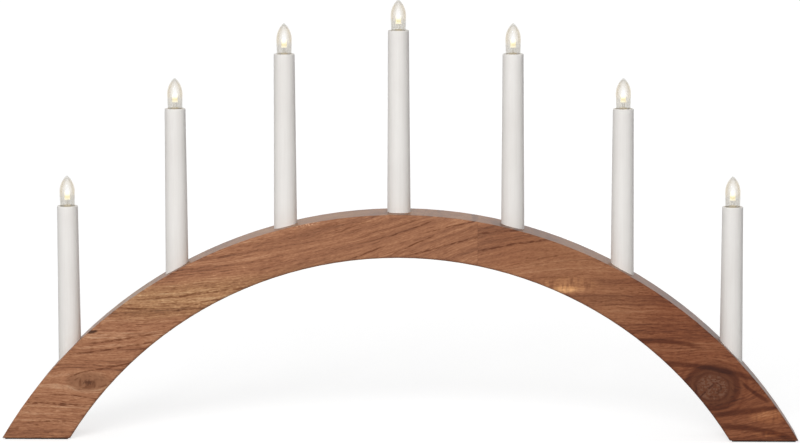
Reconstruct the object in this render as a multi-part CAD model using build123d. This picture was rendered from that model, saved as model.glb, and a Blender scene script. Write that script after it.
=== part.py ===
from build123d import *
import os
from math import asin, atan2, cos, degrees, hypot, sin, sqrt

# Wooden candle arch with seven electric candles, each with a screw-in LED bulb.
# Millimetres, +Z up, front towards -Y, origin on the table under the middle of the arch.

# Wooden arch: two circular curves standing on the table line
ARCH_SPAN = 760.0  # outer curve, foot to foot
ARCH_RISE = 217.0  # table to the top of the outer curve
ARCH_DEPTH = 50.0  # front to back
APEX_WIDTH = 41.0  # wood between the curves at the top
FOOT_WIDTH = 65.0  # wood between the curves at the table
ARRIS_CHAMFER = 1.4  # along the long edges

# Candle places: one in the middle and three to each side
END_CANDLE_INSET = 64.0  # end candle from the end of the arch
CANDLE_PITCH = 104.0  # between the three candles of a side
MIDDLE_SEAT_DEPTH = 9.4  # seat below the outer curve, on the candle's axis
INNER_SEAT_DEPTH = 18.3
OUTER_SEAT_DEPTH = 29.3
END_SEAT_DEPTH = 43.5
SEAT_CLEARANCE = 0.1

# Candle tube: a sleeve that widens to its foot, with a ledge inside for the lamp holder
TUBE_LENGTH = 182.0
TUBE_TOP_DIAMETER = 19.8
TUBE_BASE_DIAMETER = 22.2
TUBE_RIM_WALL = 2.2
TUBE_LIP_RADIUS = 0.7
TUBE_LIP_SHARE = 0.45  # most of the rim's wall that either lip rounding takes
LEDGE_WIDTH = 1.7
LEDGE_HEIGHT = 3.0

# Lamp holder, below the tube's rim
HOLDER_DROP = 6.5  # rim to the holder's top
HOLDER_FLOOR = 7.0
HOLDER_CLEARANCE = 0.1
SHELL_DROP = 0.5  # holder's top to the screw shell's top
SHELL_WALL = 0.4
SHELL_FLOOR = 0.5
SHELL_CLEARANCE = 0.1

# Sprung centre contact
CONTACT_HEAD_DIAMETER = 4.4
CONTACT_HEAD_HEIGHT = 1.2
CONTACT_STEM_DIAMETER = 3.0
CONTACT_STEM_INSET = 0.5  # stem's end above the holder's foot
CONTACT_ROOM = 2.15  # holder's floor to the underside of the head
CONTACT_CLEARANCE = 0.1
CONTACT_GAP = 0.05  # between the bulb's button and the contact

# Bulb: screw cap, clear flame-shaped globe and LED
THREAD_DIAMETER = 9.5
THREAD_CLEARANCE = 0.1
CAP_DROP = 5.0  # rim to the cap's top
CAP_HEIGHT = 9.0
CAP_WALL = 0.4
CAP_TAPER_HEIGHT = 1.4
BUTTON_DIAMETER = 4.0
BUTTON_HEIGHT = 1.2
LED_SEAT_RISE = 1.0  # rim to the top of the seat under the LED's leads
LED_SEAT_CLEARANCE = 0.2
GLOBE_DIAMETER = 14.6
GLOBE_BELLY_RISE = 13.6  # rim to the widest place
GLOBE_NOSE_RADIUS = 20.5
GLOBE_TIP_RADIUS = 1.2
GLOBE_MOUTH_GAP = 0.8  # between the globe and the tube at the rim
GLOBE_SHOULDER_DROP = 3.5  # rim to the globe's shoulder
GLOBE_SHOULDER_INSET = 0.6  # shoulder's radius under that at the rim
GLOBE_NECK_LENGTH = 4.0  # inside the cap
GLOBE_WALL = 0.8
NECK_CLEARANCE = 0.05
LED_DIAMETER = 5.0
LED_HEIGHT = 8.6
LED_FLANGE_DIAMETER = 5.8
LED_FLANGE_HEIGHT = 1.0
LEAD_WIDTH = 0.5
LEAD_LENGTH = 5.0
LEAD_PITCH = 2.54
BULB_TURNS = (78, 35, 50, 20, 62, 40, 8)  # degrees, where each bulb's thread comes tight

# Wiring groove in the back, concentric with the inner curve
GROOVE_DROP = 6.8  # groove's middle below the seat that comes nearest to it
GROOVE_OVERRUN = 10.0  # past the end candles

# Wires: links lie in the groove's lower layer, the feed and return wires in the upper one
WIRE_DIAMETER = 2.0
WIRE_BEND = 4.0
WIRE_FLOOR_GAP = 1.5
WIRE_LAYER_GAP = 2.0
WIRE_COVER_GAP = 0.6
WIRE_HOLE_ROOM = 0.6
TERMINAL_OFFSET = 3.6  # holder's axis to each terminal
TERMINAL_DEPTH = 4.0
TERMINAL_CLEARANCE = 0.1
SUPPLY_WIRE_GAP = 6.0  # between the ends of the feed and return wires at the inlet

# Back cover over the groove, let into the back of the arch
COVER_THICKNESS = 3.0
COVER_RECESS = 1.5
COVER_INNER_LAP = 3.0
COVER_OUTER_LAP = 10.0
COVER_END_LAP = 4.0
COVER_CLEARANCE = 0.2
SCREW_LENGTH = 10.0
SCREW_SHANK_DIAMETER = 2.8
SCREW_HEAD_DIAMETER = 5.6
SCREW_HEAD_HEIGHT = 1.6
SCREW_RECESS_LENGTH = 3.2
SCREW_RECESS_WIDTH = 0.7
SCREW_RECESS_DEPTH = 1.0
SCREW_EDGE = 5.0  # screw from the cover's outer edge
SCREW_END = 7.0  # last screw from the cover's end
SCREW_CLEARANCE = 0.05

# Cord grommet in the cover
INLET_DISTANCE = 45.0  # along the groove from the last candle
CORD_BORE = 5.5
GROMMET_WALL = 1.75
GROMMET_FLANGE_WIDTH = 1.2
GROMMET_FLANGE_THICKNESS = 1.4
GROMMET_CLEARANCE = 0.1
GROMMET_ROOM = 0.3  # between the inner flange and the groove's sides

# Foot pads
PAD_THICKNESS = 1.5
PAD_INSET = 2.5

UP = Vector(0, 0, 1)
BACK = Vector(0, 1, 0)
ALONG_Y = Rot(-90, 0, 0)
FROM_BASE = (Align.CENTER, Align.CENTER, Align.MIN)


def circle_of(span, rise):
    """Radius and centre height of the circle through both feet and the top of a curve."""
    radius = (span**2 / 4 + rise**2) / (2 * rise)
    return radius, rise - radius


def height_on(circle, x):
    radius, centre = circle
    return centre + sqrt(radius**2 - x**2)


def half_width_on(circle, z):
    radius, centre = circle
    return sqrt(radius**2 - (z - centre) ** 2)


OUTER_CURVE = circle_of(ARCH_SPAN, ARCH_RISE)
INNER_CURVE = circle_of(ARCH_SPAN - 2 * FOOT_WIDTH, ARCH_RISE - APEX_WIDTH)

END_X = ARCH_SPAN / 2 - END_CANDLE_INSET
OUTER_X = END_X - CANDLE_PITCH
INNER_X = OUTER_X - CANDLE_PITCH
CANDLE_X = (-END_X, -OUTER_X, -INNER_X, 0.0, INNER_X, OUTER_X, END_X)
SEAT_DEPTHS = (
    END_SEAT_DEPTH,
    OUTER_SEAT_DEPTH,
    INNER_SEAT_DEPTH,
    MIDDLE_SEAT_DEPTH,
    INNER_SEAT_DEPTH,
    OUTER_SEAT_DEPTH,
    END_SEAT_DEPTH,
)
SEAT_FLOORS = [height_on(OUTER_CURVE, x) - depth for x, depth in zip(CANDLE_X, SEAT_DEPTHS)]
CANDLE_COUNT = len(CANDLE_X)

GROMMET_NECK = CORD_BORE / 2 + GROMMET_WALL
GROMMET_FLANGE = GROMMET_NECK + GROMMET_FLANGE_WIDTH

BACK_Y = ARCH_DEPTH / 2
COVER_BACK_Y = BACK_Y - COVER_RECESS
COVER_FRONT_Y = COVER_BACK_Y - COVER_THICKNESS
SUPPLY_WIRE_Y = COVER_FRONT_Y - GROMMET_FLANGE_THICKNESS - WIRE_COVER_GAP - WIRE_DIAMETER / 2
LINK_WIRE_Y = SUPPLY_WIRE_Y - WIRE_DIAMETER - WIRE_LAYER_GAP
GROOVE_FLOOR_Y = LINK_WIRE_Y - WIRE_DIAMETER / 2 - WIRE_FLOOR_GAP
WIRE_HOLE_DIAMETER = 2 * (TERMINAL_OFFSET + WIRE_HOLE_ROOM) + WIRE_DIAMETER

GROOVE_CENTRE = INNER_CURVE[1]
GROOVE_RADIUS = min(
    hypot(x, floor - GROOVE_DROP - GROOVE_CENTRE) for x, floor in zip(CANDLE_X, SEAT_FLOORS)
)
GROOVE_WIDTH = 2 * (GROMMET_FLANGE + GROMMET_ROOM)
GROOVE_INNER = GROOVE_RADIUS - GROOVE_WIDTH / 2
GROOVE_OUTER = GROOVE_RADIUS + GROOVE_WIDTH / 2
COVER_INNER = GROOVE_INNER - COVER_INNER_LAP
COVER_OUTER = GROOVE_OUTER + COVER_OUTER_LAP
SCREW_CIRCLE = COVER_OUTER - SCREW_EDGE

CANDLE_ANGLES = [degrees(asin(x / GROOVE_RADIUS)) for x in CANDLE_X]
GROOVE_HALF_ANGLE = CANDLE_ANGLES[-1] + degrees(GROOVE_OVERRUN / GROOVE_RADIUS)
COVER_HALF_ANGLE = GROOVE_HALF_ANGLE + degrees(COVER_END_LAP / GROOVE_RADIUS)
INLET_ANGLE = CANDLE_ANGLES[-1] - degrees(INLET_DISTANCE / GROOVE_RADIUS)
WIRE_LEVELS = [height_on((GROOVE_RADIUS, GROOVE_CENTRE), x) for x in CANDLE_X]

TUBE_BORE = TUBE_TOP_DIAMETER / 2 - TUBE_RIM_WALL
SHELL_BORE = THREAD_DIAMETER / 2 + THREAD_CLEARANCE
SHELL_RADIUS = SHELL_BORE + SHELL_WALL
CAP_FOOT = -CAP_DROP - CAP_HEIGHT
BUTTON_FOOT = CAP_FOOT - CAP_TAPER_HEIGHT - BUTTON_HEIGHT
CONTACT_TOP = BUTTON_FOOT - CONTACT_GAP
CONTACT_HEAD_FOOT = CONTACT_TOP - CONTACT_HEAD_HEIGHT
HOLDER_FLOOR_TOP = CONTACT_HEAD_FOOT - CONTACT_ROOM
HOLDER_FOOT = HOLDER_FLOOR_TOP - HOLDER_FLOOR
NECK_RADIUS = THREAD_DIAMETER / 2 - CAP_WALL - NECK_CLEARANCE
NECK_FOOT = -CAP_DROP - GLOBE_NECK_LENGTH


def on_groove(radius, angle, y=0.0):
    """Point at an angle from upright on a circle concentric with the groove."""
    turned_by = Vector(0, 0, radius).rotate(Axis.Y, angle)
    return Vector(turned_by.X, y, GROOVE_CENTRE + turned_by.Z)


def turned(outline):
    """Solid of revolution about Z from an outline drawn as (radius, height)."""
    return revolve(Plane.XZ * make_face(outline), Axis.Z)


def slab(face, front, back):
    """Plate between two depths from a face drawn as (x, z)."""
    plane = Plane((0, front, 0), x_dir=(1, 0, 0), z_dir=(0, -1, 0))
    return extrude(plane * face, amount=back - front, dir=(0, 1, 0))


def ring_sector(inner_radius, outer_radius, half_angle):
    """Upright sector of a flat ring, concentric with the groove."""
    outer = CenterArc((0, GROOVE_CENTRE), outer_radius, 90 - half_angle, 2 * half_angle)
    inner = CenterArc((0, GROOVE_CENTRE), inner_radius, 90 - half_angle, 2 * half_angle)
    return make_face([outer, Line(outer @ 1, inner @ 1), inner, Line(inner @ 0, outer @ 0)])


def drill_y(point, front, back, diameter):
    """Round bar along Y for a hole through a point."""
    bar = Cylinder(diameter / 2, back - front, align=FROM_BASE)
    return Pos(point.X, front, point.Z) * ALONG_Y * bar


def screw_angles():
    """Cover screws midway between the candles and near both ends of the cover."""
    last = COVER_HALF_ANGLE - degrees(SCREW_END / SCREW_CIRCLE)
    between = [(a + b) / 2 for a, b in zip(CANDLE_ANGLES, CANDLE_ANGLES[1:])]
    return [-last] + between + [last]


def arch_body():
    foot = PAD_THICKNESS
    outer_foot = half_width_on(OUTER_CURVE, foot)
    inner_foot = half_width_on(INNER_CURVE, foot)
    outline = make_face(
        [
            ThreePointArc((-outer_foot, foot), (0, ARCH_RISE), (outer_foot, foot)),
            Line((outer_foot, foot), (inner_foot, foot)),
            ThreePointArc((inner_foot, foot), (0, ARCH_RISE - APEX_WIDTH), (-inner_foot, foot)),
            Line((-inner_foot, foot), (-outer_foot, foot)),
        ]
    )
    body = slab(outline, -BACK_Y, BACK_Y)
    body = chamfer(body.edges().filter_by(GeomType.CIRCLE), ARRIS_CHAMFER)
    seat = Cylinder(TUBE_BASE_DIAMETER / 2 + SEAT_CLEARANCE, TUBE_LENGTH, align=FROM_BASE)
    for x, floor, level in zip(CANDLE_X, SEAT_FLOORS, WIRE_LEVELS):
        wire_hole = Cylinder(WIRE_HOLE_DIAMETER / 2, floor - level, align=FROM_BASE)
        body -= Pos(x, 0, floor) * seat
        body -= Pos(x, 0, level) * wire_hole
        body -= drill_y(Vector(x, 0, level), 0, BACK_Y, WIRE_HOLE_DIAMETER)
    body -= slab(ring_sector(GROOVE_INNER, GROOVE_OUTER, GROOVE_HALF_ANGLE), GROOVE_FLOOR_Y, BACK_Y)
    rebate = ring_sector(
        COVER_INNER - COVER_CLEARANCE,
        COVER_OUTER + COVER_CLEARANCE,
        COVER_HALF_ANGLE + degrees(COVER_CLEARANCE / COVER_OUTER),
    )
    body -= slab(rebate, COVER_FRONT_Y, BACK_Y)
    for angle in screw_angles():
        point = on_groove(SCREW_CIRCLE, angle)
        body -= drill_y(
            point, COVER_BACK_Y - SCREW_LENGTH, BACK_Y, SCREW_SHANK_DIAMETER + 2 * SCREW_CLEARANCE
        )
    return body


def screw_outline(clearance, foot):
    """Half section of a countersunk screw, point down and head flush with z = 0."""
    shank = SCREW_SHANK_DIAMETER / 2 + clearance
    head = SCREW_HEAD_DIAMETER / 2 + clearance
    return Polyline(
        (0, 0), (head, 0), (shank, -SCREW_HEAD_HEIGHT), (shank, foot), (0, foot), close=True
    )


def cover_screw():
    screw = turned(screw_outline(0, -SCREW_LENGTH))
    slot = Box(SCREW_RECESS_LENGTH, SCREW_RECESS_WIDTH, 2 * SCREW_RECESS_DEPTH)
    return screw - slot - Rot(0, 0, 90) * slot


def cover_screws():
    screw = cover_screw()
    places = [on_groove(SCREW_CIRCLE, angle, COVER_BACK_Y) for angle in screw_angles()]
    return Compound(children=[Pos(place) * ALONG_Y * screw for place in places])


def back_cover():
    cover = slab(ring_sector(COVER_INNER, COVER_OUTER, COVER_HALF_ANGLE), COVER_FRONT_Y, COVER_BACK_Y)
    countersink = ALONG_Y * turned(screw_outline(SCREW_CLEARANCE, -SCREW_LENGTH))
    for angle in screw_angles():
        cover -= Pos(on_groove(SCREW_CIRCLE, angle, COVER_BACK_Y)) * countersink
    inlet = 2 * (GROMMET_NECK + GROMMET_CLEARANCE)
    return cover - drill_y(on_groove(GROOVE_RADIUS, INLET_ANGLE), 0, BACK_Y, inlet)


def cord_grommet():
    """Rubber ring with a flange on each face of the cover; its height runs from front to back."""
    bore = CORD_BORE / 2
    thick = GROMMET_FLANGE_THICKNESS
    ring = turned(
        Polyline(
            (bore, -thick),
            (GROMMET_FLANGE, -thick),
            (GROMMET_FLANGE, 0),
            (GROMMET_NECK, 0),
            (GROMMET_NECK, COVER_THICKNESS),
            (GROMMET_FLANGE, COVER_THICKNESS),
            (GROMMET_FLANGE, COVER_THICKNESS + thick),
            (bore, COVER_THICKNESS + thick),
            close=True,
        )
    )
    return Pos(on_groove(GROOVE_RADIUS, INLET_ANGLE, COVER_FRONT_Y)) * ALONG_Y * ring


def foot_pad(side):
    inner = half_width_on(INNER_CURVE, PAD_THICKNESS) + PAD_INSET
    outer = half_width_on(OUTER_CURVE, PAD_THICKNESS) - PAD_INSET
    pad = Box(outer - inner, ARCH_DEPTH - 2 * PAD_INSET, PAD_THICKNESS, align=FROM_BASE)
    return Pos(side * (inner + outer) / 2, 0, 0) * pad


def candle_tube():
    """Tube with its rim at z = 0."""
    ledge = TUBE_BORE - LEDGE_WIDTH
    tube = turned(
        Polyline(
            (TUBE_BORE, 0),
            (TUBE_TOP_DIAMETER / 2, 0),
            (TUBE_BASE_DIAMETER / 2, -TUBE_LENGTH),
            (TUBE_BORE, -TUBE_LENGTH),
            (TUBE_BORE, HOLDER_FOOT - LEDGE_HEIGHT),
            (ledge, HOLDER_FOOT - LEDGE_HEIGHT),
            (ledge, HOLDER_FOOT),
            (TUBE_BORE, HOLDER_FOOT),
            close=True,
        )
    )
    rim = tube.faces().sort_by(Axis.Z)[-1]
    return fillet(rim.edges(), min(TUBE_LIP_RADIUS, TUBE_LIP_SHARE * TUBE_RIM_WALL))


def lamp_holder():
    """Insulating cup for the screw shell, with bores for the contact and the two wires."""
    cup = SHELL_RADIUS + SHELL_CLEARANCE
    outside = TUBE_BORE - HOLDER_CLEARANCE
    stem_bore = CONTACT_STEM_DIAMETER / 2 + CONTACT_CLEARANCE
    body = turned(
        Polyline(
            (stem_bore, HOLDER_FOOT),
            (outside, HOLDER_FOOT),
            (outside, -HOLDER_DROP),
            (cup, -HOLDER_DROP),
            (cup, HOLDER_FLOOR_TOP),
            (stem_bore, HOLDER_FLOOR_TOP),
            close=True,
        )
    )
    terminal = Cylinder(WIRE_DIAMETER / 2 + TERMINAL_CLEARANCE, TERMINAL_DEPTH, align=FROM_BASE)
    for side in (-1, 1):
        body -= Pos(side * TERMINAL_OFFSET, 0, HOLDER_FOOT) * terminal
    return body


def holder_shell():
    """Brass screw shell standing on the holder's floor."""
    opening = CONTACT_HEAD_DIAMETER / 2 + CONTACT_CLEARANCE
    top = -HOLDER_DROP - SHELL_DROP
    return turned(
        Polyline(
            (opening, HOLDER_FLOOR_TOP),
            (SHELL_RADIUS, HOLDER_FLOOR_TOP),
            (SHELL_RADIUS, top),
            (SHELL_BORE, top),
            (SHELL_BORE, HOLDER_FLOOR_TOP + SHELL_FLOOR),
            (opening, HOLDER_FLOOR_TOP + SHELL_FLOOR),
            close=True,
        )
    )


def contact_plunger():
    """Centre contact that the bulb's button presses down."""
    stem = CONTACT_STEM_DIAMETER / 2
    head = CONTACT_HEAD_DIAMETER / 2
    stem_foot = HOLDER_FOOT + CONTACT_STEM_INSET
    return turned(
        Polyline(
            (0, CONTACT_TOP),
            (head, CONTACT_TOP),
            (head, CONTACT_HEAD_FOOT),
            (stem, CONTACT_HEAD_FOOT),
            (stem, stem_foot),
            (0, stem_foot),
            close=True,
        )
    )


def bulb_cap():
    """Screw cap with its contact button, the ring that takes the globe and the seat for the LED."""
    thread = THREAD_DIAMETER / 2
    seat = NECK_RADIUS - GLOBE_WALL - LED_SEAT_CLEARANCE
    button = BUTTON_DIAMETER / 2
    return turned(
        Polyline(
            (0, LED_SEAT_RISE),
            (seat, LED_SEAT_RISE),
            (seat, NECK_FOOT),
            (thread - CAP_WALL, NECK_FOOT),
            (thread - CAP_WALL, -CAP_DROP),
            (thread, -CAP_DROP),
            (thread, CAP_FOOT),
            (button, CAP_FOOT - CAP_TAPER_HEIGHT),
            (button, BUTTON_FOOT),
            (0, BUTTON_FOOT),
            close=True,
        )
    )


def globe_curve(inset):
    """Neck, shoulder, flank, nose and tip of the globe's surface, moved inwards by inset."""
    belly = GLOBE_DIAMETER / 2
    nose = GLOBE_NOSE_RADIUS - inset
    nose_offset = GLOBE_NOSE_RADIUS - belly
    tip_rise = sqrt((nose - GLOBE_TIP_RADIUS) ** 2 - nose_offset**2)
    lean = atan2(tip_rise, nose_offset)
    neck_foot = (NECK_RADIUS - inset, NECK_FOOT)
    neck_top = (NECK_RADIUS - inset, inset - CAP_DROP)
    mouth = (TUBE_BORE - GLOBE_MOUTH_GAP - inset, 0)
    shoulder = (mouth[0] - GLOBE_SHOULDER_INSET, inset - GLOBE_SHOULDER_DROP)
    widest = (belly - inset, GLOBE_BELLY_RISE)
    nose_end = (nose * cos(lean) - nose_offset, GLOBE_BELLY_RISE + nose * sin(lean))
    tip = (0, GLOBE_BELLY_RISE + tip_rise + GLOBE_TIP_RADIUS)
    return [
        Line(neck_foot, neck_top),
        Line(neck_top, shoulder),
        Line(shoulder, mouth),
        TangentArc(widest, mouth, tangent=(0, -1)),
        TangentArc(widest, nose_end, tangent=(0, 1)),
        TangentArc(tip, nose_end, tangent=(1, 0)),
    ]


def bulb_globe():
    outside = globe_curve(0)
    inside = globe_curve(GLOBE_WALL)
    foot = Line(outside[0] @ 0, inside[0] @ 0)
    tip = Line(outside[-1] @ 0, inside[-1] @ 0)
    return turned(outside + [foot] + inside + [tip])


def bulb_led():
    """LED on its two leads, which stand on the cap's seat."""
    body = LED_DIAMETER / 2
    flange = LED_FLANGE_DIAMETER / 2
    dome_foot = LED_HEIGHT - body
    led = turned(
        [
            Polyline(
                (0, LED_HEIGHT),
                (0, 0),
                (flange, 0),
                (flange, LED_FLANGE_HEIGHT),
                (body, LED_FLANGE_HEIGHT),
                (body, dome_foot),
            ),
            TangentArc((body, dome_foot), (0, LED_HEIGHT), tangent=(0, 1)),
        ]
    )
    lead = Box(LEAD_WIDTH, LEAD_WIDTH, LEAD_LENGTH + LED_FLANGE_HEIGHT, align=FROM_BASE)
    for side in (-1, 1):
        led += Pos(side * LEAD_PITCH / 2, 0, -LEAD_LENGTH) * lead
    return Pos(0, 0, LED_SEAT_RISE + LEAD_LENGTH) * led


def wire_start(candle, side, y):
    """Where a wire of one candle turns out of its wire hole into the groove."""
    return Vector(CANDLE_X[candle] + side * TERMINAL_OFFSET, y, WIRE_LEVELS[candle])


def wire_drop(candle, turn, heading):
    """Path from a holder's terminal down the tube, back to the groove and round into it."""
    rim = SEAT_FLOORS[candle] + TUBE_LENGTH
    terminal = Vector(turn.X, 0, rim + HOLDER_FOOT + TERMINAL_DEPTH)
    foot = Vector(turn.X, 0, turn.Z)
    return [
        Line(terminal, foot + UP * WIRE_BEND),
        TangentArc(foot + UP * WIRE_BEND, foot + BACK * WIRE_BEND, tangent=-UP),
        Line(foot + BACK * WIRE_BEND, turn - BACK * WIRE_BEND),
        TangentArc(turn - BACK * WIRE_BEND, turn + heading * WIRE_BEND, tangent=BACK),
    ]


def wire_along(edges):
    path = Wire(edges)
    section = Plane(origin=path @ 0, z_dir=path % 0) * Circle(WIRE_DIAMETER / 2)
    return sweep(section, path=path)


def link_wire(candle):
    """Wire from one candle's right terminal to the next candle's left one, bowed like the groove."""
    start = wire_start(candle, 1, LINK_WIRE_Y)
    end = wire_start(candle + 1, -1, LINK_WIRE_Y)
    chord = end - start
    bow = asin(chord.length / (2 * GROOVE_RADIUS))
    along = chord.normalized()
    outward = Vector(-along.Z, 0, along.X)
    leaving = along * cos(bow) + outward * sin(bow)
    arriving = along * cos(bow) - outward * sin(bow)
    run = TangentArc(start + leaving * WIRE_BEND, end - arriving * WIRE_BEND, tangent=leaving)
    first = wire_drop(candle, start, leaving)
    second = wire_drop(candle + 1, end, -arriving)
    return wire_along(first + [run] + second[::-1])


def supply_wire(candle, side):
    """Wire from an end candle's outer terminal along the groove to the cord inlet."""
    start = wire_start(candle, side, SUPPLY_WIRE_Y)
    from_centre = Vector(start.X, 0, start.Z - GROOVE_CENTRE).normalized()
    heading = Vector(from_centre.Z, 0, -from_centre.X) * -side
    end_angle = INLET_ANGLE + side * degrees(SUPPLY_WIRE_GAP / 2 / GROOVE_RADIUS)
    end = on_groove(GROOVE_RADIUS, end_angle, SUPPLY_WIRE_Y)
    run = TangentArc(start + heading * WIRE_BEND, end, tangent=heading)
    return wire_along(wire_drop(candle, start, heading) + [run])


nodes = {
    "arch_body": arch_body(),
    "back_cover": back_cover(),
    "cover_screws": cover_screws(),
    "cord_grommet": cord_grommet(),
    "foot_pad_left": foot_pad(-1),
    "foot_pad_right": foot_pad(1),
    "link_wires": Compound(children=[link_wire(candle) for candle in range(CANDLE_COUNT - 1)]),
    "feed_wire": supply_wire(CANDLE_COUNT - 1, 1),
    "return_wire": supply_wire(0, -1),
}

candle_pieces = {
    "candle_tube": candle_tube(),
    "lamp_holder": lamp_holder(),
    "holder_shell": holder_shell(),
    "contact_plunger": contact_plunger(),
    "bulb_cap": bulb_cap(),
    "bulb_globe": bulb_globe(),
    "bulb_led": bulb_led(),
}
for candle in range(CANDLE_COUNT):
    place = Pos(CANDLE_X[candle], 0, SEAT_FLOORS[candle] + TUBE_LENGTH)
    for name, piece in candle_pieces.items():
        turn = BULB_TURNS[candle] if name.startswith("bulb") else 0
        nodes[f"{name}_{candle + 1}"] = place * Rot(0, 0, turn) * piece

os.makedirs("parts", exist_ok=True)
for name, shape in nodes.items():
    export_step(shape, f"parts/{name}.step")
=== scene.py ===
import math

import bmesh
import bpy
import numpy as np
from mathutils import Matrix, Vector


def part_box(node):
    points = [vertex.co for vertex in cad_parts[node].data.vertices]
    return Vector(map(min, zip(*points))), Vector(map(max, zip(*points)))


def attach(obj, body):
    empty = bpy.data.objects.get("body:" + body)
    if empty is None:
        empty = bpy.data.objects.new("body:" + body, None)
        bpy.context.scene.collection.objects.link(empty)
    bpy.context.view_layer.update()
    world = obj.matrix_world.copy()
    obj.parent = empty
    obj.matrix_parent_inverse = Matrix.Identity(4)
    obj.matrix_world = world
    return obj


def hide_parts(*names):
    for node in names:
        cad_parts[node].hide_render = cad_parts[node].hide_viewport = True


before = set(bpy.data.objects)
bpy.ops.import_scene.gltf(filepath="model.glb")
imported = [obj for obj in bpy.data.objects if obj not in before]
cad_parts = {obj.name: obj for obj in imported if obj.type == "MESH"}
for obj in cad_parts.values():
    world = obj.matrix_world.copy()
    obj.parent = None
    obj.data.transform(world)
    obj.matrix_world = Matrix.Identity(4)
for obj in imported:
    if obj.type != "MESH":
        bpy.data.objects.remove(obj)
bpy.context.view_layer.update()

# Candle arch: wooden bow, seven candle tubes and their screw-in LED bulbs.
# Metres in the frame; profiles and patterns below are in millimetres and scaled by MM.
MM = 0.001
CANDLES = range(1, 8)

# Degrees by which each bulb's leads are turned, since its thread comes tight where it does
BULB_TURNS = (78, 35, 50, 20, 62, 40, 8)

# Candle tube and what stands in it, as radius and height over the tube's rim
TUBE_FOOT = -182.0
TUBE_FOOT_RADIUS = 11.1
TUBE_RIM_RADIUS = 9.9
TUBE_BORE = 7.7
TUBE_LIP = 0.7
LEDGE_BORE = 6.0
LEDGE_TOP = -27.0
LEDGE_FOOT = -30.0

SHELL_TOP = -7.0
SHELL_FLOOR = -20.0
SHELL_FLOOR_THICK = 0.5
SHELL_WALL = 0.4
SHELL_BORE = 4.85
SHELL_OPENING = 2.3

CAP_TOP = -5.0
CAP_FOOT = -14.0
CAP_RADIUS = 4.75
CAP_WALL = 0.4
INSULATOR_FOOT = -15.4
BUTTON_FOOT = -16.6
BUTTON_RADIUS = 2.0
THREAD_PITCH = 1.814
THREAD_DEPTH = 0.3

SEAT_TOP = 1.0
SEAT_RADIUS = 3.3
NECK_FOOT = -9.0
NECK_RADIUS = 4.3
GLOBE_WALL = 0.8
SHOULDER = (6.3, -3.5)
MOUTH_RADIUS = 6.9
BELLY_RADIUS = 7.3
BELLY_HEIGHT = 13.6
NOSE_RADIUS = 20.5
TIP_RADIUS = 1.2

LED_FOOT = 6.0
LED_RADIUS = 2.5
LED_HEIGHT = 8.6
LED_FLANGE_RADIUS = 2.9
LED_FLANGE_HEIGHT = 1.0
LEAD_WIDTH = 0.5
LEAD_PITCH = 2.54

# Turned pieces: rows of points along parts of a profile, columns round the axis, the gap in metres
# under which points are joined, the length under which an edge is dropped, and the angle from which an
# edge stays sharp
TUBE_ROWS = 25
LIP_ROWS = 7
FLANK_ROWS = 14
NOSE_ROWS = 30
TIP_ROWS = 10
DOME_ROWS = 16
THREAD_ROWS = 61
TUBE_COLUMNS = 96
BULB_COLUMNS = 72
LED_COLUMNS = 48
JOIN_GAP = 1e-7
DROP_LENGTH = 1e-8
SHARP_ANGLE = math.radians(32)

# Camera of the photograph: a long lens, a little above and to the right
IMAGE_WIDTH = 800
FOCAL_PIXELS = 3157.0
SENSOR = 36.0
CLIP_END = 100.0
CAMERA_DISTANCE = 3.0
CAMERA_YAW = math.radians(1.84)
CAMERA_PITCH = math.radians(8.08)
CAMERA_ROLL = math.radians(0.166)
AIM_SIDE = 0.00097
AIM_HEIGHT = 0.20745

# Room: how bright it looks, how much light it gives, and how much less of that from the two sides
WHITE_ROOM = 1.0
DAYLIGHT = 0.42
SIDE_SHADE = 0.18

# Soft lamps: place, point that the lamp looks at, width and power
KEY_LIGHT = ((-0.7, -2.9, 1.9), (0.0, 0.0, 0.2), 1.6, 80.0)
FILL_LIGHT = ((1.9, -2.6, 1.4), (0.1, 0.0, 0.2), 1.6, 10.0)
BACK_LIGHT = ((0.5, 3.2, 0.75), (0.0, 0.0, 0.2), 1.2, 24.0)

# Floor: half its width in metres, its own glow near the middle, and the millimetres from the middle
# over which it turns white and over which its colour fades
HALF_FLOOR = 30.0
FLOOR_GLOW = 0.70
FLOOR_WHITENS = (600.0, 2200.0)
FLOOR_FADES = (900.0, 2000.0)
FLOOR_GREYS = ((0.44, 0.44, 0.44), (0.46, 0.46, 0.46))
FAR_GREY = (0.06, 0.06, 0.06)


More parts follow.
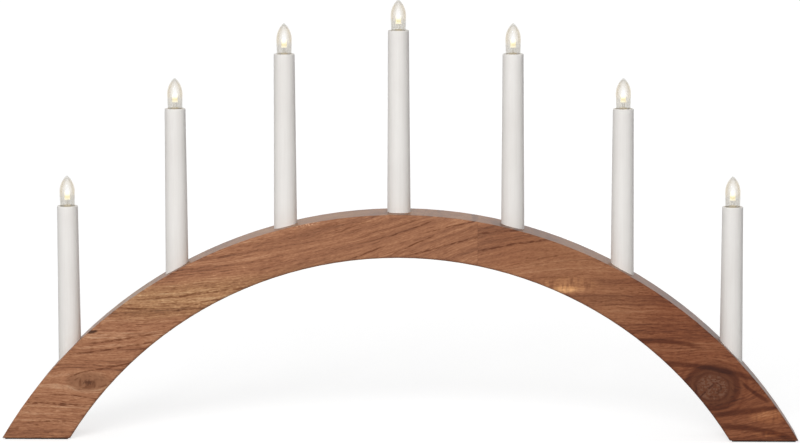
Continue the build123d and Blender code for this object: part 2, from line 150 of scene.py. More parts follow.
class Field:
    """A value that a shader works out at each point; arithmetic on it adds Math nodes."""

    def __init__(self, tree, socket=None):
        self.tree = tree
        self.socket = socket

    def node(self, kind, settings=None, inputs=None, output=0):
        """Adds a node: settings first, then the value or link of each socket, and gives one output."""
        made = self.tree.nodes.new(kind)
        for name, setting in (settings or {}).items():
            if name == "stops":
                ramp = made.color_ramp.elements
                while len(ramp) < len(setting):
                    ramp.new(1.0)
                for element, (position, colour) in zip(ramp, setting):
                    element.position = position
                    element.color = (*colour, 1.0)
            else:
                setattr(made, name, setting)
        for name, given in (inputs or {}).items():
            if isinstance(given, Field):
                self.tree.links.new(given.socket, made.inputs[name])
            else:
                made.inputs[name].default_value = given
        return Field(self.tree, made.outputs[output] if made.outputs else None)

    def maths(self, operation, *values):
        """A Math node of the values, which are numbers or fields."""
        return self.node("ShaderNodeMath", {"operation": operation}, dict(enumerate(values)))

    def __add__(self, other):
        return self.maths("ADD", self, other)

    def __radd__(self, other):
        return self.maths("ADD", other, self)

    def __sub__(self, other):
        return self.maths("SUBTRACT", self, other)

    def __rsub__(self, other):
        return self.maths("SUBTRACT", other, self)

    def __mul__(self, other):
        return self.maths("MULTIPLY", self, other)

    def __rmul__(self, other):
        return self.maths("MULTIPLY", other, self)

    def __truediv__(self, other):
        return self.maths("DIVIDE", self, other)

    def __pow__(self, other):
        return self.maths("POWER", self, other)

    def __abs__(self):
        return self.maths("ABSOLUTE", self)

    def least(self, other):
        return self.maths("MINIMUM", self, other)

    def most(self, other):
        return self.maths("MAXIMUM", self, other)

    def step(self, low, high):
        """0 below low and 1 above high, smooth between; a falling step has low above high."""
        return self.node(
            "ShaderNodeMapRange",
            {"interpolation_type": "SMOOTHSTEP"},
            {0: self, 1: low, 2: high, 3: 0.0, 4: 1.0},
        )

    def blend(self, dark, light):
        """Colour that goes from dark at 0 to light at 1 of this value."""
        sides = [c if isinstance(c, Field) else (*c, 1.0) for c in (dark, light)]
        inputs = {0: self, 6: sides[0], 7: sides[1]}
        return self.node("ShaderNodeMix", {"data_type": "RGBA"}, inputs, 2)


def new_material(name):
    """An empty node tree with its first field."""
    material = bpy.data.materials.new(name)
    material.use_nodes = True
    material.node_tree.nodes.clear()
    return material, Field(material.node_tree)


def finish_material(field, **sockets):
    """Ends a tree in a Principled shader, whose sockets are named with _ for a blank."""
    inputs = {name.replace("_", " "): given for name, given in sockets.items()}
    shader = field.node("ShaderNodeBsdfPrincipled", inputs=inputs)
    field.node("ShaderNodeOutputMaterial", inputs={"Surface": shader})


def place_in_mm(field):
    """The x, y and z of the point in millimetres."""
    at = field.node("ShaderNodeTexCoord", output="Object")
    scaled = field.node("ShaderNodeVectorMath", {"operation": "SCALE"}, {0: at, "Scale": 1 / MM})
    return [field.node("ShaderNodeSeparateXYZ", inputs={0: scaled}, output=k) for k in range(3)]


def patches(field, along, sizes, detail=2.0, roughness=0.5):
    """Noise whose patches have the given sizes, in millimetres, in the three directions of along."""
    at = field.node("ShaderNodeCombineXYZ", inputs={k: along[k] / sizes[k] for k in range(3)})
    inputs = {"Vector": at, "Scale": 1.0, "Detail": detail, "Roughness": roughness}
    return field.node("ShaderNodeTexNoise", inputs=inputs)


def raised(field, height, depth_mm, strength, normal=None):
    """Bump from a height between 0 and 1 that stands for depth_mm."""
    inputs = {"Height": height, "Distance": depth_mm * MM, "Strength": strength}
    if normal is not None:
        inputs["Normal"] = normal
    return field.node("ShaderNodeBump", inputs=inputs)


def mottled(name, dark, light, sizes, gloss, grain, metal=0.0):
    """Material whose colour drifts from dark to light over patches of the given sizes; gloss is the
    lowest and highest roughness, and grain the depth of a fine relief, in millimetres."""
    material, field = new_material(name)
    spot = place_in_mm(field)
    drift = patches(field, spot, sizes, 3.0)
    fine = patches(field, spot, (0.6, 0.6, 0.6), 2.0)
    tone = (drift * 0.7 + fine * 0.3).step(0.3, 0.7)
    rough = gloss[0] + (gloss[1] - gloss[0]) * drift
    finish_material(
        field,
        Base_Color=tone.blend(dark, light),
        Roughness=rough,
        Metallic=metal,
        Normal=raised(field, fine, grain, 0.5),
    )
    return material


# Wood, in millimetres on the front, with places as (x, z). The grain of the left board rises by a
# factor times the square of the way past its start. That of the right board rises from a height by a
# slope that levels out over a reach. The honey-coloured band has a place across the grain.
JOINT_X = 75.0
LEFT_START = -300.0
LEFT_CURVE = 0.00052
RIGHT_HEIGHT = 37.0
RIGHT_SLOPE = 0.24
RIGHT_CURVE = 0.00109
RIGHT_REACH = 110.0
LEFT_KNOT = (-296.0, 56.0)
LEFT_KNOT_SIZE = (30.0, 14.0)
RIGHT_KNOT = (297.0, 53.0)
RIGHT_KNOT_SIZE = (24.0, 20.0)
HONEY_BAND = 131.0

# Pale patches, the chip and a painted highlight on the edge as (place, half-length, half-height), the
# last two with the edge's slope, and dark veins as (start, end, rise of the middle over their chord,
# half-width)
PALE_PATCHES = [
    ((160.0, 151.0), 36.0, 10.0),
    ((158.0, 147.0), 13.0, 5.0),
    ((350.0, 25.0), 22.0, 9.0),
    ((352.0, 8.0), 18.0, 4.0),
]
EDGE_CHIP = ((-291.0, 104.5), 5.5, 1.6, 0.2)
# Painted highlight: light specks on the front edge left of the apex
EDGE_HIGHLIGHT = ((-86.0, 207.6), 13.0, 1.4, 0.197)
VEINS = [
    ((-364, 35), (-294, 33), 1.0, 1.8),
    ((-362, 15), (-300, 16), 3.0, 1.2),
    ((-338, 44), (-278, 38), 1.5, 1.2),
    ((-318, 59), (-276, 69), 2.5, 1.0),
    ((-290, 67), (-244, 76), 0.5, 1.7),
    ((-318, 82), (-222, 97), -1.0, 1.5),
    ((-300, 93), (-222, 105), -1.0, 1.6),
    ((-268, 127), (-225, 127), 0.3, 1.0),
    ((-230, 131), (-190, 131), 0.5, 0.9),
    ((-215, 125), (-180, 129), 0.0, 0.9),
    ((-256, 135), (-120, 151), -1.0, 1.7),
    ((-206, 127), (-150, 140), 1.0, 1.2),
    ((-48, 174), (-10, 188), 0.5, 1.3),
    ((-12, 177), (38, 199), 0.5, 1.2),
    ((2, 176), (86, 199), 0.5, 1.3),
    ((-12, 195), (38, 213), 0.5, 1.0),
    ((18, 198), (88, 215), 0.5, 1.0),
    ((58, 177), (150, 194), 3.2, 1.5),
    ((62, 197), (150, 203), 2.0, 1.2),
    ((205, 94), (292, 90), 5.0, 3.2),
    ((214, 72), (352, 56), 9.0, 3.4),
    ((292, 25), (370, 35), 0.0, 3.8),
    ((296, 16), (380, 1), 4.0, 4.2),
    ((284, 42), (300, 58), 0.0, 1.8),
    ((322, 61), (352, 40), -3.0, 3.0),
]

# Colours of the plain wood from dark to light, the colour of the specks in the right knot, and the
# factors for red, green and blue by which the wood's features change its colour; the edge highlight
# and the top and underside's shade among them are painted light
WOOD_COLOURS = [
    (0.10, (0.142, 0.057, 0.031)),
    (0.32, (0.264, 0.109, 0.055)),
    (0.48, (0.364, 0.159, 0.080)),
    (0.60, (0.418, 0.193, 0.099)),
    (0.76, (0.495, 0.252, 0.139)),
    (0.95, (0.594, 0.347, 0.208)),
]
KNOT_SPECKLE = (0.185, 0.088, 0.054)
WOOD_TINTS = {
    "honey_band": (1.06, 1.20, 1.12),
    "pale_fleck": (1.22, 1.30, 1.32),
    "dark_fleck": (0.76, 0.70, 0.67),
    "left_leg": (0.92, 0.90, 0.89),
    "right_board": (0.82, 0.74, 0.68),
    "right_bow": (0.93, 0.93, 0.91),
    "right_leg": (0.69, 0.545, 0.49),
    "pale_patch": (1.55, 1.72, 1.66),
    "left_knot": (0.76, 0.78, 0.79),
    "left_knot_eye": (0.42, 0.36, 0.34),
    "right_knot": (0.56, 0.55, 0.56),
    "right_knot_loop": (0.60, 0.46, 0.38),
    "edge_chip": (0.2, 0.17, 0.16),
    "pore": (0.57, 0.46, 0.39),
    "hairline": (0.54, 0.43, 0.36),
    "vein": (0.40, 0.27, 0.19),
    "painted_edge_highlight": (1.9, 2.4, 2.8),
    "cross_gleam": (1.22, 1.28, 1.32),
    "board_joint": (0.5, 0.45, 0.42),
    "painted_shade_top_and_underside": (0.71, 0.69, 0.52),
}


def oval(x, z, place, along, across, slope=0.0):
    """Distance from a place, counted in ovals of the given half-widths that lie along a slope."""
    if slope:
        z = z - (x - place[0]) * slope
    return (((x - place[0]) / along) ** 2 + ((z - place[1]) / across) ** 2) ** 0.5


def vein(x, z, start, end, bulge, width):
    """Dark line along z = z0 + t (dz + 4 bulge) - 4 bulge t^2, where t goes from 0 to 1 along it."""
    t = (x - start[0]) / (end[0] - start[0])
    off = z - start[1] - t * (end[1] - start[1] + 4 * bulge) + t * t * (4 * bulge)
    return abs(off).step(width, 0.3 * width) * t.step(0.0, 0.2) * t.step(1.0, 0.8)


def arch_wood():
    """Oiled hardwood. The grain runs along x, rises towards the middle of the left board, bends round
    the knots and starts afresh at the board joint; v is the distance across it. Faces that look
    neither to the front nor to the back get painted shade and a faint coat, which together stand in
    for the grazing sheen on the top; a painted highlight lies on the front edge left of the apex."""
    material, field = new_material("arch_wood")
    x, y, z = place_in_mm(field)
    right = (x - JOINT_X).step(-0.05, 0.05)

    climb = (x - LEFT_START).most(0.0)
    left_rise = climb * climb * LEFT_CURVE
    past = (x - JOINT_X).most(0.0).least(RIGHT_REACH)
    right_rise = past * RIGHT_SLOPE - past * past * RIGHT_CURVE + RIGHT_HEIGHT
    rise = left_rise + (right_rise - left_rise) * right

    left_ring = oval(x, z, LEFT_KNOT, *LEFT_KNOT_SIZE)
    right_ring = oval(x, z, RIGHT_KNOT, *RIGHT_KNOT_SIZE)
    left_in = field.maths("EXPONENT", left_ring ** 2.0 * -1.0)
    right_in = field.maths("EXPONENT", right_ring ** 2.0 * -0.4)
    seed = y + right * 400.0
    wave = patches(field, (x, seed, z), (85.0, 60.0, 26.0), 2.0)
    sway = patches(field, (x, seed, z), (24.0, 30.0, 9.0), 1.0)
    v = z - rise - (z - LEFT_KNOT[1]) * left_in - (z - RIGHT_KNOT[1]) * right_in
    v = v + (wave - 0.5) * 8.0 + (sway - 0.5) * 1.6 + right_in * right_ring * 13.0

    board = patches(field, (x, seed, v), (420.0, 60.0, 17.0), 2.0)
    band = patches(field, (x, seed, v), (210.0, 22.0, 4.6), 2.0, 0.6)
    streak = patches(field, (x, seed, v), (110.0, 9.0, 1.9), 2.0, 0.6)
    fibre = patches(field, (x, seed, v), (13.0, 3.0, 1.0), 2.0, 0.7)
    pore = patches(field, (x, seed + 9.0, v), (9.0, 1.6, 1.05), 1.0)
    stipple = patches(field, (x, seed + 19.0, v), (3.0, 1.6, 1.2), 1.0)
    fleck = stipple.step(0.55, 0.68)
    dash = patches(field, (x, seed + 40.0, v), (6.0, 3.0, 2.0), 1.0).step(0.40, 0.56)
    where = patches(field, (x, seed + 30.0, v), (90.0, 60.0, 12.0), 1.0)
    line = patches(field, (x, seed + 70.0, v), (240.0, 90.0, 8.0), 1.0)
    curl = patches(field, (x, seed, z), (4.0, 9.0, 16.0), 2.0)

    veins = 0.0
    for start, end, bulge, width in VEINS:
        own_board = right if start[0] + end[0] > 2 * JOINT_X else 1.0 - right
        broken = 0.25 + 0.65 * dash if width < 2.0 else 0.65 + 0.35 * fibre.step(0.35, 0.55)
        whole = vein(x, z + (sway - 0.5) * 2.5, start, end, bulge, width)
        veins = (whole * own_board * broken).most(veins)
    hair = abs(line - 0.5).step(0.016, 0.0) * where.step(0.45, 0.6)
    pores = pore.step(0.56, 0.64) * where.step(0.25, 0.55)
    wobbly = right_ring + (sway - 0.5) * 0.25 + (wave - 0.5) * 0.2
    loop = abs(wobbly - 1.0).step(0.2, 0.05) + abs(wobbly - 0.68).step(0.10, 0.0) * 0.8
    loop = (loop + abs(wobbly - 1.35).step(0.12, 0.0) * 0.6).least(1.0)
    plain = 1.0 - 0.35 * x.step(-170.0, -90.0) * x.step(240.0, 180.0)
    fine_grain = (band - 0.5) * 0.7 + (streak - 0.5) * 0.65 + (fibre - 0.5) * 0.85
    grain = (board - 0.5) * 0.9 + fine_grain * plain
    off_left_knot = 1.0 - 0.6 * left_ring.step(0.75, 0.5)
    off_right_knot = 1.0 - 0.75 * right_ring.step(1.05, 0.9)
    tone = 0.5 + grain * off_left_knot * off_right_knot
    tone = tone - 0.04 * x.step(-150.0, -80.0) * x.step(230.0, 180.0)
    wood = field.node("ShaderNodeValToRGB", {"stops": WOOD_COLOURS}, {"Fac": tone})

    def shaded(colour, amount, feature):
        """The colour, changed by the feature's tint where amount is 1."""
        settings = {"data_type": "RGBA", "blend_type": "MULTIPLY"}
        inputs = {0: 1.0, 6: colour, 7: (*WOOD_TINTS[feature], 1.0)}
        return amount.blend(colour, field.node("ShaderNodeMix", settings, inputs, 2))

    honey = abs(v - HONEY_BAND).step(22.0, 8.0) * x.step(-300.0, -235.0) * x.step(0.0, -190.0)
    wood = shaded(wood, honey * 0.9, "honey_band")
    wood = shaded(wood, fleck * (0.5 + honey * 0.5), "pale_fleck")
    wood = shaded(wood, stipple.step(0.45, 0.32) * 0.6, "dark_fleck")
    wood = shaded(wood, x.step(-170.0, -250.0), "left_leg")
    wood = shaded(wood, x.step(60.0, 110.0) * 0.8, "right_board")
    wood = shaded(wood, x.step(100.0, 150.0), "right_bow")
    wood = shaded(wood, (x + (wave - 0.5) * 60.0).step(180.0, 260.0), "right_leg")
    for patch in PALE_PATCHES:
        pale = oval(x, z, *patch).step(1.0, 0.4) * curl.step(0.25, 0.55)
        wood = shaded(wood, pale, "pale_patch")

    wood = shaded(wood, left_ring.step(0.85, 0.50) * 0.9, "left_knot")
    lashes = patches(field, (x, y, z), (1.5, 4.0, 3.0), 1.0)
    eye = (left_ring + (lashes - 0.5) * 0.5).step(0.26, 0.06)
    wood = shaded(wood, eye * 0.8, "left_knot_eye")
    wood = shaded(wood, right_ring.step(1.4, 0.8) * 0.95, "right_knot")
    wood = shaded(wood, loop * 0.9, "right_knot_loop")
    speckle = patches(field, (x, y, z), (2.2, 2.4, 1.6), 2.0).step(0.46, 0.58)
    wood = (right_ring.step(0.68, 0.5) * speckle * 0.7).blend(wood, KNOT_SPECKLE)

    chip = oval(x, z, *EDGE_CHIP).step(1.2, 0.6) * y.step(-16.0, -22.0)
    wood = shaded(wood, chip, "edge_chip")
    wood = shaded(wood, pores * plain * 0.75, "pore")
    wood = shaded(wood, hair * 0.6, "hairline")
    wood = shaded(wood, veins * 0.95, "vein")
    # Painted highlight: light specks where the front edge left of the apex catches the light
    highlight_mask = oval(x, z, *EDGE_HIGHLIGHT).step(1.1, 0.5) * speckle * y.step(-20.0, -23.5)
    wood = shaded(wood, highlight_mask, "painted_edge_highlight")
    wood = shaded(wood, curl.step(0.60, 0.75) * fibre.step(0.5, 0.65) * 0.6, "cross_gleam")
    wood = shaded(wood, abs(x - JOINT_X).step(0.5, 0.1) * 0.3, "board_joint")

    # Painted shade: faces turned away from the front and back are darker; with the coat below this
    # stands in for the grazing sheen of light on the top
    normal = field.node("ShaderNodeNewGeometry", output="Normal")
    front_or_back = abs(field.node("ShaderNodeSeparateXYZ", inputs={0: normal}, output=1))
    turned_away = front_or_back.step(0.6, 0.2)
    wood = shaded(wood, turned_away, "painted_shade_top_and_underside")

    rounded = field.node("ShaderNodeBevel", {"samples": 4}, {"Radius": 2.6 * MM})
    relief = fibre * 0.4 + streak * 0.3 - pores * 0.4
    finish_material(
        field,
        Base_Color=wood,
        Roughness=0.46 + 0.16 * fibre,
        Specular_IOR_Level=0.2,
        Coat_Weight=turned_away * 0.34,
        Coat_Roughness=0.3,
        Normal=raised(field, relief, 0.25, 0.35, rounded),
    )
    return material


def height_over_rim(field):
    """The piece's own height over the tube's rim, in millimetres."""
    return field.node("ShaderNodeAttribute", {"attribute_name": "height"}, output="Fac")


def candle_plastic():
    """Satin white plastic with a faint flow of the mould along the tube."""
    material, field = new_material("candle_plastic")
    spot = place_in_mm(field)
    cloud = patches(field, spot, (26.0, 26.0, 60.0), 2.0)
    flow = patches(field, spot, (1.6, 1.6, 46.0), 2.0)
    fine = patches(field, spot, (0.5, 0.5, 0.5), 1.0)
    tone = (cloud * 0.6 + flow * 0.4).step(0.25, 0.75)
    finish_material(
        field,
        Base_Color=tone.blend((0.80, 0.77, 0.737), (0.86, 0.837, 0.807)),
        Roughness=0.44 + 0.12 * flow,
        Specular_IOR_Level=0.2,
        Normal=raised(field, fine * 0.5 + flow * 0.5, 0.05, 0.3),
    )
    return material


def globe_glass():
    """Clear globe: greyish round the LED's foot and where its wall is seen edge on, clearest where it
    is looked through squarely above the LED, with a painted glow of the LED's light in the glass."""
    material, field = new_material("globe_glass")
    height = height_over_rim(field)
    edge = field.node("ShaderNodeLayerWeight", inputs={"Blend": 0.5}, output="Facing")
    spot = place_in_mm(field)
    ripple = patches(field, spot, (5.0, 5.0, 9.0), 1.0)
    above = height.step(8.0, 14.0) * height.step(30.0, 25.0)
    clear = (1.0 - edge ** 0.5 * 1.6).most(0.0) * above
    veil = 0.24 + edge ** 5.0 * 0.55 - clear * 0.27
    # Painted glow: the glass itself shines warm over the LED's height, in place of the LED's light in
    # it
    glow = height.step(7.0, 14.0) * height.step(29.0, 21.0)
    finish_material(
        field,
        Base_Color=above.blend((0.56, 0.535, 0.485), (0.375, 0.355, 0.315)),
        Roughness=0.04 + 0.05 * ripple,
        Alpha=veil.most(0.01),
        Emission_Color=glow.blend((0.04, 0.03, 0.012), (0.25, 0.18, 0.07)),
        Emission_Strength=1.0,
        Normal=raised(field, ripple, 0.2, 0.15),
    )
    return material


# Glow of the LED by the part of its height: flange, chip and dome
LED_COLOURS = [
    (0.00, (0.95, 0.88, 0.66)),
    (0.14, (0.95, 0.88, 0.62)),
    (0.26, (0.80, 0.70, 0.36)),
    (0.38, (0.84, 0.74, 0.42)),
    (0.54, (1.00, 0.93, 0.76)),
    (1.00, (1.00, 0.93, 0.80)),
]


def led_epoxy():
    """Lit LED of clear resin: bright at its flange, yellower at the chip and nearly white in the dome,
    and seen through where its side is edge on."""
    material, field = new_material("led_epoxy")
    height = height_over_rim(field) - LED_FOOT
    edge = field.node("ShaderNodeLayerWeight", inputs={"Blend": 0.5}, output="Facing")
    spot = place_in_mm(field)
    swirl = patches(field, spot, (1.1, 1.1, 1.8), 1.0)
    part = height / LED_HEIGHT + (swirl - 0.5) * 0.1
    shine = field.node("ShaderNodeValToRGB", {"stops": LED_COLOURS}, {"Fac": part})
    finish_material(
        field,
        Base_Color=swirl.blend((0.30, 0.26, 0.16), (0.40, 0.35, 0.22)),
        Roughness=0.12 + 0.08 * swirl,
        Alpha=(1.0 - edge ** 1.5 * 0.8).most(0.0),
        Emission_Color=shine,
        Emission_Strength=1.15,
    )
    return material


def felt():
    """Dark felt: short fibres lying every way."""
    material, field = new_material("felt")
    spot = place_in_mm(field)
    lie = patches(field, spot, (2.2, 0.35, 0.6), 3.0, 0.7)
    cross = patches(field, spot, (0.35, 2.2, 0.6), 3.0, 0.7)
    fluff = lie.most(cross)
    finish_material(
        field,
        Base_Color=fluff.step(0.35, 0.75).blend((0.020, 0.015, 0.013), (0.085, 0.066, 0.058)),
        Roughness=0.9 + 0.08 * fluff,
        Sheen_Weight=0.3,
        Normal=raised(field, fluff, 0.3, 0.8),
    )
    return material


def hardboard():
    """Brown fibre board with pale and dark flecks."""
    material, field = new_material("hardboard")
    spot = place_in_mm(field)
    cloud = patches(field, spot, (30.0, 30.0, 30.0), 2.0)
    fleck = patches(field, spot, (1.6, 1.6, 0.7), 4.0, 0.7)
    tone = (cloud * 0.35 + fleck * 0.65).step(0.3, 0.72)
    finish_material(
        field,
        Base_Color=tone.blend((0.105, 0.060, 0.034), (0.285, 0.180, 0.108)),
        Roughness=0.55 + 0.25 * fleck,
        Normal=raised(field, fleck, 0.15, 0.5),
    )
    return material


def arc(centre, radius, start, end, count):
    """Points on a circle from one angle to another, both in degrees from the radius axis."""
    angle = np.radians(np.linspace(start, end, count))
    return np.stack([centre[0] + radius * np.cos(angle), centre[1] + radius * np.sin(angle)], 1)


def run(start, end, count=2):
    """Points evenly spaced on a straight line."""
    return np.linspace(start, end, count)


def thread(angle, height, low, high):
    """Right-handed rolled thread: the radius falls by THREAD_DEPTH between crests that climb
    THREAD_PITCH in a turn, and the thread fades out over half a pitch at both ends."""
    crest = 0.5 + 0.5 * np.cos(2 * np.pi * height / THREAD_PITCH - angle)
    fade = np.clip(np.minimum(height - low, high - height) / (THREAD_PITCH / 2), 0, 1)
    return -THREAD_DEPTH * (1 - crest) * fade * fade * (3 - 2 * fade)


def turned_piece(name, body, candle, bands, closed=False, threaded=None, around=BULB_COLUMNS):
    """Solid of revolution on a candle's axis. Each band is a profile of (radius, height over the rim)
    and its material; the profile is carried round by x = X + r cos a, y = Y + r sin a, z = Z + h.
    Where threaded gives a range of heights, the thread's relief is added to r."""
    profile = np.concatenate([np.asarray(points, float) for points, _ in bands])
    kinds = np.concatenate([np.full(len(points), k) for k, (points, _) in enumerate(bands)])
    rows = len(profile)
    angle = np.linspace(0, 2 * np.pi, around, endpoint=False)[None, :]
    radius = np.repeat(profile[:, :1], around, 1)
    height = np.repeat(profile[:, 1:], around, 1)
    if threaded:
        radius = radius + thread(angle, height, *threaded)
    low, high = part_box(f"candle_tube_{candle}")
    points = np.stack(
        [
            (low.x + high.x) / 2 + radius * np.cos(angle) * MM,
            (low.y + high.y) / 2 + radius * np.sin(angle) * MM,
            high.z + height * MM,
        ],
        2,
    ).reshape(-1, 3)
    row = np.arange(rows if closed else rows - 1)
    above = (row + 1) % rows
    column = np.arange(around)
    beside = (column + 1) % around
    quads = np.stack(
        [
            row[:, None] * around + column,
            row[:, None] * around + beside,
            above[:, None] * around + beside,
            above[:, None] * around + column,
        ],
        2,
    ).reshape(-1, 4)
    mesh = bpy.data.meshes.new(name)
    mesh.from_pydata(points.tolist(), [], quads.tolist())
    mesh.polygons.foreach_set("material_index", np.repeat(kinds[above], around).astype(np.int32))
    mesh.attributes.new("height", "FLOAT", "POINT").data.foreach_set("value", height.ravel())
    return joined_piece(name, body, mesh, [material for _, material in bands])


def joined_piece(name, body, mesh, materials):
    """Closes the mesh's seams and poles, smooths it up to its edges and rides it on a body."""
    work = bmesh.new()
    work.from_mesh(mesh)
    bmesh.ops.remove_doubles(work, verts=work.verts, dist=JOIN_GAP)
    bmesh.ops.dissolve_degenerate(work, edges=work.edges, dist=DROP_LENGTH)
    work.to_mesh(mesh)
    work.free()
    for material in materials:
        mesh.materials.append(material)
    mesh.polygons.foreach_set("use_smooth", np.ones(len(mesh.polygons), bool))
    mesh.set_sharp_from_angle(angle=SHARP_ANGLE)
    piece = bpy.data.objects.new(name, mesh)
    bpy.context.scene.collection.objects.link(piece)
    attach(piece, body)
    return piece


def globe_profile(inset):
    """Neck, shoulder, flank, nose and tip of the globe's surface, moved inwards by inset. The flank's
    circle goes through the mouth with its widest place at the belly."""
    sag = BELLY_RADIUS - MOUTH_RADIUS
    flank = (BELLY_HEIGHT**2 + sag**2) / (2 * sag)
    mouth_angle = math.degrees(math.asin(BELLY_HEIGHT / flank))
    nose = NOSE_RADIUS - inset
    offset = NOSE_RADIUS - BELLY_RADIUS
    tip_rise = math.sqrt((nose - TIP_RADIUS) ** 2 - offset**2)
    lean = math.degrees(math.atan2(tip_rise, offset))
    return np.concatenate(
        [
            run((NECK_RADIUS - inset, NECK_FOOT), (NECK_RADIUS - inset, CAP_TOP + inset)),
            [(SHOULDER[0] - inset, SHOULDER[1] + inset)],
            arc((BELLY_RADIUS - flank, BELLY_HEIGHT), flank - inset, -mouth_angle, 0, FLANK_ROWS),
            arc((-offset, BELLY_HEIGHT), nose, 0, lean, NOSE_ROWS)[1:],
            arc((0, BELLY_HEIGHT + tip_rise), TIP_RADIUS, lean, 90, TIP_ROWS)[1:],
        ]
    )


def lead_wires(name, body, candle, turn, material):
    """Two square leads under the LED. Each is a square profile carried up a straight line; their plane
    is turned by the angle where the bulb's thread comes tight."""
    low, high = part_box(f"candle_tube_{candle}")
    square = np.array([(-1, -1), (1, -1), (1, 1), (-1, 1)]) * LEAD_WIDTH / 2
    corners = 2 * len(square)
    side = np.repeat([-1, 1], corners) * LEAD_PITCH / 2
    flat = np.tile(square, (4, 1)) + np.stack([side, np.zeros(len(side))], 1)
    angle = math.radians(turn)
    x = flat[:, 0] * math.cos(angle) - flat[:, 1] * math.sin(angle)
    y = flat[:, 0] * math.sin(angle) + flat[:, 1] * math.cos(angle)
    z = np.tile(np.repeat([SEAT_TOP, LED_FOOT + LED_FLANGE_HEIGHT / 2], len(square)), 2)
    points = np.stack(
        [x * MM + (low.x + high.x) / 2, y * MM + (low.y + high.y) / 2, z * MM + high.z], 1
    )
    box = np.array(
        [(0, 1, 5, 4), (1, 2, 6, 5), (2, 3, 7, 6), (3, 0, 4, 7), (3, 2, 1, 0), (4, 5, 6, 7)]
    )
    mesh = bpy.data.meshes.new(name)
    mesh.from_pydata(points.tolist(), [], np.concatenate([box, box + corners]).tolist())
    return joined_piece(name, body, mesh, [material])


wood = arch_wood()
plastic = candle_plastic()
glass = globe_glass()
epoxy = led_epoxy()
pad_felt = felt()
cover_board = hardboard()
brass = mottled(
    "bright_brass", (0.48, 0.32, 0.12), (0.80, 0.60, 0.29), (4, 4, 6), (0.18, 0.34), 0.02, metal=1.0
)
tin = mottled(
    "tinned_lead", (0.55, 0.53, 0.49), (0.82, 0.80, 0.75), (2, 2, 3), (0.25, 0.45), 0.02, metal=1.0
)
zinc = mottled(
    "zinc_screw", (0.40, 0.39, 0.36), (0.66, 0.64, 0.58), (3, 3, 3), (0.3, 0.5), 0.02, metal=1.0
)
amber = mottled(
    "amber_seat", (0.60, 0.49, 0.30), (0.74, 0.63, 0.42), (2, 2, 2), (0.2, 0.35), 0.02
)
insulator = mottled(
    "black_insulator", (0.010, 0.010, 0.011), (0.035, 0.033, 0.032), (3, 3, 3), (0.1, 0.22), 0.01
)
holder = mottled(
    "holder_plastic", (0.60, 0.56, 0.49), (0.74, 0.70, 0.63), (9, 9, 9), (0.45, 0.6), 0.04
)
insulation = mottled(
    "wire_insulation", (0.60, 0.59, 0.56), (0.74, 0.73, 0.70), (8, 8, 8), (0.35, 0.5), 0.03
)
rubber = mottled(
    "black_rubber", (0.016, 0.016, 0.017), (0.045, 0.044, 0.043), (5, 5, 5), (0.6, 0.8), 0.05
)

for k in CANDLES:
    bulb = f"bulb_{k}"

    lip_height = -TUBE_LIP
    tube_wall = np.concatenate(
        [
            run((TUBE_FOOT_RADIUS, TUBE_FOOT), (TUBE_RIM_RADIUS, lip_height), TUBE_ROWS),
            arc((TUBE_RIM_RADIUS - TUBE_LIP, lip_height), TUBE_LIP, 0, 90, LIP_ROWS)[1:],
            arc((TUBE_BORE + TUBE_LIP, lip_height), TUBE_LIP, 90, 180, LIP_ROWS),
            run((TUBE_BORE, LEDGE_TOP), (LEDGE_BORE, LEDGE_TOP)),
            run((LEDGE_BORE, LEDGE_FOOT), (TUBE_BORE, LEDGE_FOOT)),
            [(TUBE_BORE, TUBE_FOOT)],
        ]
    )
    tube = turned_piece(
        f"tube_skin_{k}", "arch", k, [(tube_wall, plastic)], closed=True, around=TUBE_COLUMNS
    )
    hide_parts(f"candle_tube_{k}")

    globe_wall = np.concatenate([globe_profile(0), globe_profile(GLOBE_WALL)[::-1]])
    globe = turned_piece(f"globe_glass_{k}", bulb, k, [(globe_wall, glass)], closed=True)
    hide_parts(f"bulb_globe_{k}")

    flange_top = LED_FOOT + LED_FLANGE_HEIGHT
    dome_foot = LED_FOOT + LED_HEIGHT - LED_RADIUS
    dome = np.concatenate(
        [
            run((0, LED_FOOT), (LED_FLANGE_RADIUS, LED_FOOT)),
            run((LED_FLANGE_RADIUS, flange_top), (LED_RADIUS, flange_top)),
            arc((0, dome_foot), LED_RADIUS, 0, 90, DOME_ROWS),
        ]
    )
    led = turned_piece(f"led_dome_{k}", bulb, k, [(dome, epoxy)], around=LED_COLUMNS)
    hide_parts(f"bulb_led_{k}")
    lead_wires(f"led_leads_{k}", bulb, k, BULB_TURNS[k - 1], tin)

    ring = CAP_RADIUS - CAP_WALL
    cap = turned_piece(
        f"threaded_cap_{k}",
        bulb,
        k,
        [
            (run((0, BUTTON_FOOT), (BUTTON_RADIUS, BUTTON_FOOT)), tin),
            (run((BUTTON_RADIUS, INSULATOR_FOOT), (CAP_RADIUS, CAP_FOOT)), insulator),
            (run((CAP_RADIUS, CAP_FOOT), (CAP_RADIUS, CAP_TOP), THREAD_ROWS), brass),
            (run((ring, CAP_TOP), (ring, NECK_FOOT)), brass),
            (run((SEAT_RADIUS, NECK_FOOT), (SEAT_RADIUS, SEAT_TOP)), amber),
            ([(0, SEAT_TOP)], amber),
        ],
        threaded=(CAP_FOOT, CAP_TOP),
    )
    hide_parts(f"bulb_cap_{k}")

    floor_top = SHELL_FLOOR + SHELL_FLOOR_THICK
    shell_outside = SHELL_BORE + SHELL_WALL
    shell_wall = np.concatenate(
        [
            run((SHELL_OPENING, SHELL_FLOOR), (shell_outside, SHELL_FLOOR)),
            run((shell_outside, floor_top), (shell_outside, SHELL_TOP), THREAD_ROWS),
            run((SHELL_BORE, SHELL_TOP), (SHELL_BORE, floor_top), THREAD_ROWS),
            [(SHELL_OPENING, floor_top)],
        ]
    )
    shell = turned_piece(
        f"threaded_shell_{k}",
        "arch",
        k,
        [(shell_wall, brass)],
        closed=True,
        threaded=(floor_top, SHELL_TOP),
    )
    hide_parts(f"holder_shell_{k}")

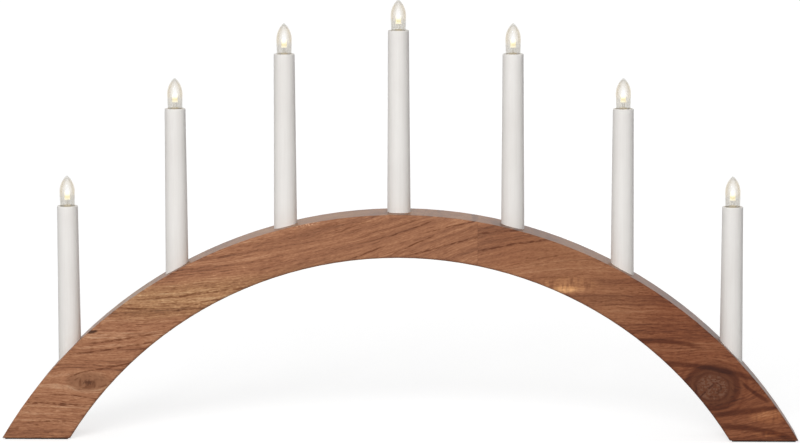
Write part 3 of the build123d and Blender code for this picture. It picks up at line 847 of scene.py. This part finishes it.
node_finishes = {
    "arch_body": wood,
    "back_cover": cover_board,
    "cover_screws": zinc,
    "cord_grommet": rubber,
    "foot_pad_left": pad_felt,
    "foot_pad_right": pad_felt,
    "link_wires": insulation,
    "feed_wire": insulation,
    "return_wire": insulation,
}
for k in CANDLES:
    node_finishes[f"lamp_holder_{k}"] = holder
    node_finishes[f"contact_plunger_{k}"] = brass
for node, material in node_finishes.items():
    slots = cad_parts[node].data.materials
    slots.clear()
    slots.append(material)


def seen_straight(field):
    """1 for what the camera, a mirror or a glass looks at, and 0 for light that falls on the object."""
    rays = ["Is Camera Ray", "Is Glossy Ray", "Is Transmission Ray"]
    camera, glossy, through = [field.node("ShaderNodeLightPath", output=ray) for ray in rays]
    return camera.most(glossy).most(through)


def white_floor():
    """Pale floor that looks white round the object and still takes its shadow. Far off its colour is
    dark, so that the lamps don't make the white over-bright there."""
    material, field = new_material("white_floor")
    x, y, _ = place_in_mm(field)
    away = (x * x + y * y) ** 0.5
    glow = FLOOR_GLOW + (1.0 - FLOOR_GLOW) * away.step(*FLOOR_WHITENS)
    cloud = patches(field, (x, y, x), (900.0, 900.0, 900.0), 1.0)
    faded = away.step(*FLOOR_FADES).blend(cloud.blend(*FLOOR_GREYS), FAR_GREY)
    matt = field.node("ShaderNodeBsdfDiffuse", inputs={"Color": faded})
    light = field.node("ShaderNodeEmission", inputs={"Strength": seen_straight(field) * glow})
    both = field.node("ShaderNodeAddShader", inputs={0: matt, 1: light})
    field.node("ShaderNodeOutputMaterial", inputs={"Surface": both})
    return material


def light_room():
    """White to look at, softer as a light on the object and softest from its two sides."""
    world = bpy.data.worlds.new("white_room")
    bpy.context.scene.world = world
    world.use_nodes = True
    world.node_tree.nodes.clear()
    field = Field(world.node_tree)
    towards = field.node("ShaderNodeTexCoord", output="Generated")
    sideways = field.node("ShaderNodeSeparateXYZ", inputs={0: towards}, output=0)
    daylight = DAYLIGHT - SIDE_SHADE * sideways * sideways
    strength = daylight + (WHITE_ROOM - daylight) * seen_straight(field)
    inputs = {"Color": (1.0, 1.0, 1.0, 1.0), "Strength": strength}
    sky = field.node("ShaderNodeBackground", inputs=inputs)
    field.node("ShaderNodeOutputWorld", inputs={"Surface": sky})


def soft_box(name, place, aim, size, power):
    """Square lamp of soft light at a place, turned towards a point."""
    lamp = bpy.data.lights.new(name, "AREA")
    lamp.shape = "SQUARE"
    lamp.size = size
    lamp.energy = power
    box = bpy.data.objects.new(name, lamp)
    bpy.context.scene.collection.objects.link(box)
    box.location = place
    box.rotation_euler = (Vector(aim) - Vector(place)).to_track_quat("-Z", "Y").to_euler()
    return box


floor_mesh = bpy.data.meshes.new("floor")
corners = np.array([(-1, -1, 0), (1, -1, 0), (1, 1, 0), (-1, 1, 0)]) * HALF_FLOOR
floor_mesh.from_pydata(corners.tolist(), [], [(0, 1, 2, 3)])
floor_mesh.materials.append(white_floor())
floor = bpy.data.objects.new("floor", floor_mesh)
bpy.context.scene.collection.objects.link(floor)

light_room()
soft_box("key_light", *KEY_LIGHT)
soft_box("fill_light", *FILL_LIGHT)
back_light = soft_box("back_light", *BACK_LIGHT)
back_light.visible_glossy = False


def photo_camera():
    """Long lens at the photograph's place: right, up and forward axes from yaw, pitch and roll."""
    side, turn = math.cos(CAMERA_YAW), math.sin(CAMERA_YAW)
    level, dip = math.cos(CAMERA_PITCH), math.sin(CAMERA_PITCH)
    right = Vector((side, turn, 0))
    forward = Vector((-turn * level, side * level, -dip))
    upright = right.cross(forward)
    tilt, lean = math.cos(CAMERA_ROLL), math.sin(CAMERA_ROLL)
    across = right * tilt - upright * lean
    up = right * lean + upright * tilt
    place = right * AIM_SIDE + Vector((0, 0, AIM_HEIGHT)) - forward * CAMERA_DISTANCE
    lens = bpy.data.cameras.new("photo_camera")
    lens.sensor_width = SENSOR
    lens.lens = FOCAL_PIXELS * SENSOR / IMAGE_WIDTH
    lens.clip_end = CLIP_END
    camera = bpy.data.objects.new("photo_camera", lens)
    bpy.context.scene.collection.objects.link(camera)
    turned = Matrix((across, up, -forward)).transposed().to_4x4()
    camera.matrix_world = Matrix.Translation(place) @ turned
    bpy.context.scene.camera = camera


photo_camera()
bpy.context.scene.view_settings.view_transform = "Standard"
